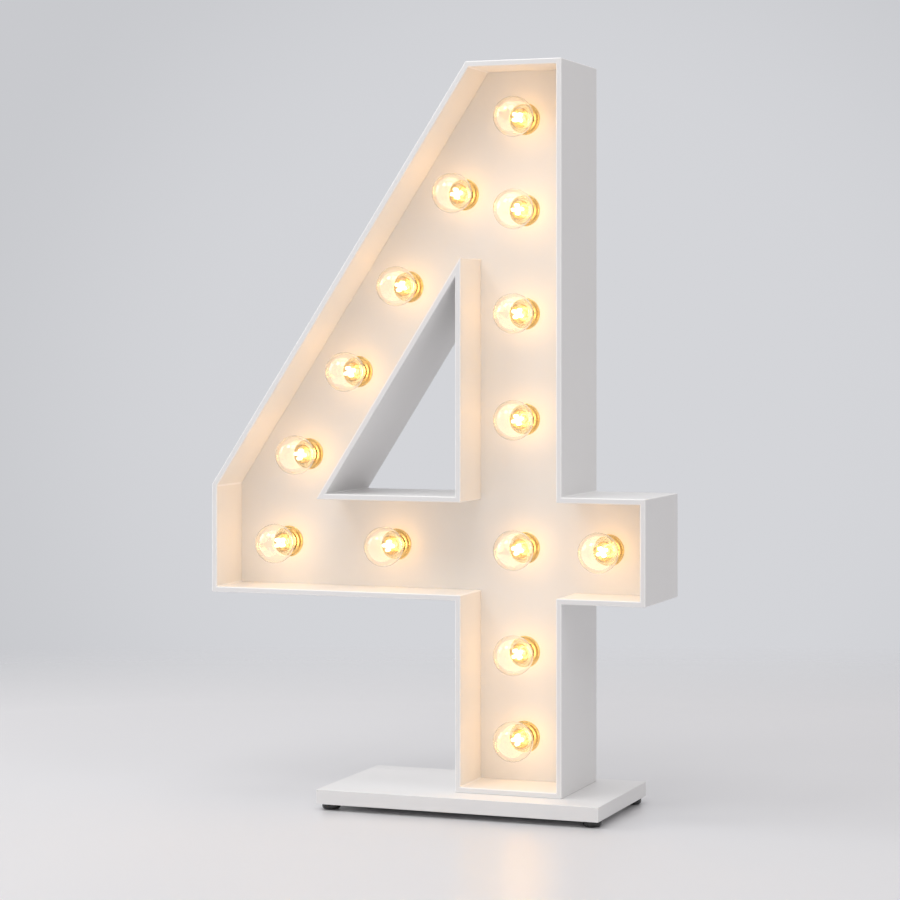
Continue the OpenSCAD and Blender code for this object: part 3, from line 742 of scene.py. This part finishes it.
def cap_mesh():
    """Screw cap with rolled thread, black insulator and soldered tip."""
    end = CAP_OUT - CAP_L
    seat, floor = NECK_R + 0.05 * MM, CAP_OUT - CAP_SEAT
    roll = (CAP_R - seat) / 2
    rows, bevel = 60, 0.4 * MM
    row_h = (CAP_L - roll - bevel) / rows
    shell = [(0, end), (CAP_R - 0.5 * MM, end)]
    shell += [(CAP_R, end + bevel + row_h * k) for k in range(rows + 1)]
    shell += arc((CAP_R - roll, CAP_OUT - roll), roll, 0, 180, 8)[1:]
    shell += [(seat, floor), (0, floor)]
    bm = lathe(bmesh.new(), shell, 72, 0, shape=thread)
    low = end - INSULATOR_L
    gap = 0.05 * MM
    insulator_r = CAP_R - INSULATOR_STEP
    insulator = [(0, low), (TIP_R + 1 * MM, low), (insulator_r, end - INSULATOR_STEP)]
    insulator += [(insulator_r, end - gap), (0, end - gap)]
    lathe(bm, insulator, 72, 1)
    tip = [(0, low - TIP_H)] + arc((TIP_R - 1 * MM, low - TIP_H + 1 * MM), 1 * MM, -90, 0, 4)
    tip += [(TIP_R, low - gap), (0, low - gap)]
    lathe(bm, tip, 48, 2)
    return mesh_from(bm, "screw_cap")


def mount_mesh():
    """Glass stem with its wires and the filaments between two spiders."""
    low = CAP_OUT - CAP_SEAT + 0.1 * MM
    start = FILAMENT_OUT - FILAMENT_L / 2
    top = start + FILAMENT_L
    flare = NECK_R - GLASS_T - 1 * MM
    stem = [(0, low), (flare, low), (flare * 0.6, low + 4 * MM), (flare * 0.42, low + 8 * MM)]
    stem += [(STEM_R, low + 12 * MM), (STEM_R, top - 2 * MM)]
    stem += [(STEM_R * 0.6, top - 1 * MM), (0, top - 1 * MM)]
    bm = lathe(bmesh.new(), stem, 32, 0)
    tube(bm, (0, 0, start), (0, 0, top), SUPPORT_R, 10, 1)
    for k in range(FILAMENTS):
        a = 2 * math.pi * k / FILAMENTS
        x, y = FILAMENT_RING * math.cos(a), FILAMENT_RING * math.sin(a)
        tube(bm, (x, y, start), (x, y, top), FILAMENT_R, 16, 2)
        for height in (start + 0.8 * MM, top - 0.8 * MM):
            tube(bm, (0, 0, height), (x, y, height), SUPPORT_R, 8, 1)
    return mesh_from(bm, "filament_mount")


collar_shape = collar_mesh()
globe_shape = globe_mesh()
cap_shape = cap_mesh()
mount_shape = mount_mesh()
for number, body in enumerate(BULBS):
    turn = math.radians(BULB_TURN * number)
    collar = add_object(body + "_collar", collar_shape, brass)
    globe = add_object(body + "_glass", globe_shape, globe_glass)
    cap = add_object(body + "_cap", cap_shape, cap_brass, vitrite, solder)
    mount = add_object(body + "_mount", mount_shape, stem_glass, nickel, filament_glow)
    for piece in (collar, globe, cap, mount):
        piece.matrix_world = on_panel(body, turn)
        # The lamp's light reaches the panel past the fittings, without hard rings or bright specks
        piece.visible_shadow = False
        piece.visible_diffuse = False
    place_piece(collar, "frame", "brass", "lampholder_collars")
    place_piece(globe, body, "bulb_glass", body + "_globe")
    place_piece(cap, body, "brass", body + "_screw_base")
    place_piece(mount, body, "bulb_glass", body + "_screw_base")
    lamp = bpy.data.lights.new(body + "_light", "POINT")
    lamp.energy = BULB_POWER
    lamp.color = BULB_COLOUR
    lamp.shadow_soft_size = BULB_LIGHT_R
    light = bpy.data.objects.new(body + "_light", lamp)
    light.location = bulb_place(body) - Vector((0, BULB_LIGHT_OUT, 0))
    SCENE.collection.objects.link(light)


# Back fittings: cover screws, inlet and switch
def cross_cutter(size, depth):
    """Two tapered bars that cut the cross recess of a screw head, from above."""
    bm = bmesh.new()
    for turn in (0, 90):
        bar = bmesh.new()
        half_l, half_w = size / 2, size / 9
        corners = []
        for z, share in ((-depth, 0.55), (1 * MM, 1.0)):
            for x, y in ((-1, -1), (1, -1), (1, 1), (-1, 1)):
                corners.append(bar.verts.new((x * half_l * share, y * half_w, z)))
        bar.faces.new(corners[3::-1])
        bar.faces.new(corners[4:])
        for k in range(4):
            n = (k + 1) % 4
            bar.faces.new((corners[k], corners[n], corners[n + 4], corners[k + 4]))
        bar.transform(Matrix.Rotation(math.radians(turn), 4, "Z"))
        join(bm, bar)
    return mesh_from(bm, "cross_cutter")


def screw_mesh(head_r, head_h, shank_r, shank_l):
    """Pan-head screw with a cross recess, its head upwards from the cover's face."""
    edge = 0.8 * MM
    crown = head_r * 2
    profile = [(0, -shank_l), (shank_r * 0.3, -shank_l), (shank_r, 4 * MM - shank_l)]
    profile += [(shank_r, 0), (head_r, 0)]
    profile += arc((head_r - edge, head_h * 0.5), edge, 0, 55, 5)
    start = math.degrees(math.asin(profile[-1][0] / crown))
    profile += arc((0, head_h - crown), crown, 90 - start * 0.9, 90, 5)
    profile[-1] = (0, head_h)
    mesh = mesh_from(lathe(bmesh.new(), profile, 48), "cover_screw_blank")
    blank = add_object("cover_screw_blank", mesh)
    cutter = add_object("cross_cutter", cross_cutter(head_r * 1.15, head_h * 0.75))
    cutter.location.z = head_h
    cut = blank.modifiers.new("cross_recess", "BOOLEAN")
    cut.object = cutter
    cut.solver = "EXACT"
    cut.use_self = True
    bpy.context.view_layer.update()
    shaped = blank.evaluated_get(bpy.context.evaluated_depsgraph_get())
    result = bpy.data.meshes.new_from_object(shaped)
    result.name = "cover_screw"
    result.set_sharp_from_angle(angle=math.radians(35))
    for piece in (blank, cutter):
        bpy.data.objects.remove(piece)
    return result


screw_boxes = [box_of(part.verts) for part in loose_parts("cover_screws")]
screw_low, screw_high = screw_boxes[0]
head_r = (screw_high.x - screw_low.x) / 2
screw_shape = screw_mesh(head_r, screw_high.y - back, SCREW_SHANK_R, back - screw_low.y)
for number, (low, high) in enumerate(sorted(screw_boxes, key=lambda box: tuple(box[0])), 1):
    screw = add_object("cover_screw_%02d" % number, screw_shape, steel)
    place = Matrix.Translation(((low.x + high.x) / 2, back, (low.z + high.z) / 2))
    turn = Matrix.Rotation(math.radians(SCREW_TURN * number), 4, "Z")
    screw.matrix_world = place @ Matrix.Rotation(math.radians(-90), 4, "X") @ turn
    place_piece(screw, "frame", "steel", "cover_screws")


def housing_and_metal(node, housing_name, metal_name):
    """Splits a CAD fitting into its moulded housing and its metal pins and tabs."""
    housing_part, *metal_parts = loose_parts(node)
    housing = add_object(housing_name, mesh_from(housing_part, housing_name), phenolic)
    soft_edges(housing, FITTING_EDGE, 2, 40)
    place_piece(housing, "frame", "black_plastic", node)
    bm = bmesh.new()
    for part in metal_parts:
        join(bm, part)
    metal = add_object(metal_name, mesh_from(bm, metal_name), steel)
    soft_edges(metal, FITTING_EDGE / 2, 2, 40)
    place_piece(metal, "frame", "steel", node)


housing_and_metal("power_inlet", "inlet_housing", "inlet_pins")
housing_and_metal("switch_frame", "switch_housing", "switch_tabs")


def mark_mesh(name, ring, size, stroke, thickness):
    """A flat printed mark: a bar for on, or a ring for off."""
    if ring:
        outer, inner = size / 2, size / 2 - stroke
        profile = [(inner, 0), (outer, 0), (outer, thickness), (inner, thickness)]
        return mesh_from(lathe(bmesh.new(), profile, 40, closed=True), name)
    bm = bmesh.new()
    lower, upper = [], []
    for x, y in ((-1, -1), (1, -1), (1, 1), (-1, 1)):
        lower.append(bm.verts.new((x * stroke / 2, y * size / 2, 0)))
        upper.append(bm.verts.new((x * stroke / 2, y * size / 2, thickness)))
    bm.faces.new(lower)
    bm.faces.new(upper)
    for k in range(4):
        n = (k + 1) % 4
        bm.faces.new((lower[k], lower[n], upper[n], upper[k]))
    return mesh_from(bm, name)


def build_rocker():
    """Rocker with its two printed faces, told apart by their height."""
    bm = welded("switch_rocker")
    bm.normal_update()
    facing = [face for face in bm.faces if face.normal.y > 0.8]
    faces = sorted(facing, key=lambda f: f.calc_area())[-2:]
    faces = sorted(((f.calc_center_median(), f.normal.copy()) for f in faces), key=lambda f: f[0].z)
    rocker = add_object("rocker_body", mesh_from(bm, "rocker_body"), phenolic)
    soft_edges(rocker, FITTING_EDGE, 2, 40)
    place_piece(rocker, "rocker", "black_plastic", "switch_rocker")
    for (centre, normal), name, ring in zip(faces, ("off_mark", "on_mark"), (True, False)):
        mark_shape = mark_mesh(name, ring, MARK_SIZE, MARK_STROKE, MARK_T)
        mark = add_object("rocker_" + name, mark_shape, white_print)
        across = Vector((1, 0, 0))
        upward = normal.cross(across)
        turn = Matrix((across, upward, normal)).transposed().to_4x4()
        mark.matrix_world = Matrix.Translation(centre - normal * MARK_SUNK) @ turn
        place_piece(mark, "rocker", "black_plastic", "switch_rocker")


build_rocker()


# Studio floor: a rounded square that fades into the backdrop at its edge
def floor_mesh():
    bm = bmesh.new()
    fade = bm.verts.layers.float.new("fade")
    sides, power = 96, 0.55
    inner = 1 - FLOOR_FADE / FLOOR_HALF
    rings = [0.0, inner * 0.35, inner * 0.7, inner, (1 + inner) / 2, 1.0]
    shares = [1, 1, 1, 1, 0.5, 0]
    loops = []
    for ring, share in zip(rings, shares):
        loop = []
        for k in range(sides):
            a = 2 * math.pi * k / sides
            c, s = math.cos(a), math.sin(a)
            x = math.copysign(abs(c) ** power, c) * ring * FLOOR_HALF
            y = math.copysign(abs(s) ** power, s) * ring * FLOOR_HALF
            vertex = bm.verts.new((x, y, 0)) if ring or not k else loop[0]
            vertex[fade] = share
            loop.append(vertex)
        loops.append(loop)
    for low, high in zip(loops, loops[1:]):
        for k in range(sides):
            n = (k + 1) % sides
            bm.faces.new(list(dict.fromkeys((low[k], low[n], high[n], high[k]))))
    return mesh_from(bm, "studio_floor")


def floor_material():
    look = Look("studio_floor")
    dim = [c * 0.975 for c in FLOOR_COLOUR]
    look.colours(look.noise(1.2, 3.0), (0.0, dim), (1.0, FLOOR_COLOUR))
    look.roughness(look.noise(6.0, 2.0), 0.28, 0.33, start=0.0, end=1.0)
    look.set(Specular_IOR_Level=0.50)
    clear = look.node("BsdfTransparent")
    fade = look.node("Attribute")
    fade.attribute_name = "fade"
    blend = look.node("MixShader")
    look.link(fade.outputs["Fac"], blend.inputs["Fac"])
    look.link(clear.outputs["BSDF"], blend.inputs[1])
    look.link(look.shader.outputs["BSDF"], blend.inputs[2])
    look.link(blend.outputs["Shader"], look.tree.nodes["Material Output"].inputs["Surface"])
    return look.material


floor = add_object("studio_floor", floor_mesh(), floor_material())
floor.rotation_euler.z = CAMERA_TURN
floor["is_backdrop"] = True


def build_world():
    """Soft light from all round, and a pale backdrop with painted shade towards its sides, where it is
    seen.
    """
    world = bpy.data.worlds.new("studio")
    world.use_nodes = True
    SCENE.world = world
    tree = world.node_tree
    tree.nodes.clear()
    nodes = {}
    for name, kind in (
        ("out", "OutputWorld"), ("light", "Background"), ("seen", "Background"),
        ("mix", "MixShader"), ("path", "LightPath"), ("first", "Math"), ("second", "Math"),
        ("coords", "TexCoord"), ("nearness", "VectorMath"), ("shade", "ValToRGB"),
    ):
        nodes[name] = tree.nodes.new("ShaderNode" + kind)
    nodes["light"].inputs["Color"].default_value = (*WORLD_COLOUR, 1)
    nodes["light"].inputs["Strength"].default_value = WORLD_LIGHT
    links = tree.links
    nodes["nearness"].operation = "DOT_PRODUCT"
    nodes["nearness"].inputs[1].default_value = BACKDROP_MIDDLE
    ramp = nodes["shade"].color_ramp
    ramp.interpolation = "EASE"
    for stop, degrees, colour in zip(ramp.elements, BACKDROP_ANGLES, (BACKDROP_EDGE, BACKDROP)):
        stop.position = math.cos(math.radians(degrees))
        stop.color = (*colour, 1)
    links.new(nodes["coords"].outputs["Generated"], nodes["nearness"].inputs[0])
    links.new(nodes["nearness"].outputs["Value"], nodes["shade"].inputs["Fac"])
    links.new(nodes["shade"].outputs["Color"], nodes["seen"].inputs["Color"])
    for name in ("first", "second"):
        nodes[name].operation = "MAXIMUM"
    links.new(nodes["path"].outputs["Is Camera Ray"], nodes["first"].inputs[0])
    links.new(nodes["path"].outputs["Is Glossy Ray"], nodes["first"].inputs[1])
    links.new(nodes["first"].outputs["Value"], nodes["second"].inputs[0])
    links.new(nodes["path"].outputs["Is Transmission Ray"], nodes["second"].inputs[1])
    links.new(nodes["second"].outputs["Value"], nodes["mix"].inputs["Fac"])
    links.new(nodes["light"].outputs["Background"], nodes["mix"].inputs[1])
    links.new(nodes["seen"].outputs["Background"], nodes["mix"].inputs[2])
    links.new(nodes["mix"].outputs["Shader"], nodes["out"].inputs["Surface"])


def area_light(name, place, target, power, size, in_gloss):
    """A soft lamp aimed at a point; left out of gloss, it leaves no bright patch on the floor."""
    lamp = bpy.data.lights.new(name, "AREA")
    lamp.energy = power
    lamp.size = size
    light = bpy.data.objects.new(name, lamp)
    light.location = place
    light.visible_glossy = in_gloss
    light.rotation_euler = (Vector(target) - Vector(place)).to_track_quat("-Z", "Y").to_euler()
    SCENE.collection.objects.link(light)


build_world()
middle = (cad_low + cad_high) / 2
for name, place, power, size, in_gloss in SOFTBOXES:
    area_light(name, place, middle, power, size, in_gloss)

camera = bpy.data.cameras.new("camera")
camera.lens = CAMERA_LENS
camera.shift_y = CAMERA_SHIFT
camera_object = bpy.data.objects.new("camera", camera)
camera_object.location = CAMERA_PLACE
camera_object.rotation_euler = (math.radians(90), 0, CAMERA_TURN)
SCENE.collection.objects.link(camera_object)
SCENE.camera = camera_object

SCENE.view_settings.view_transform = "Standard"
size = {"cad": [list(cad_low), list(cad_high)], "visual": [list(corner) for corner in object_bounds()]}
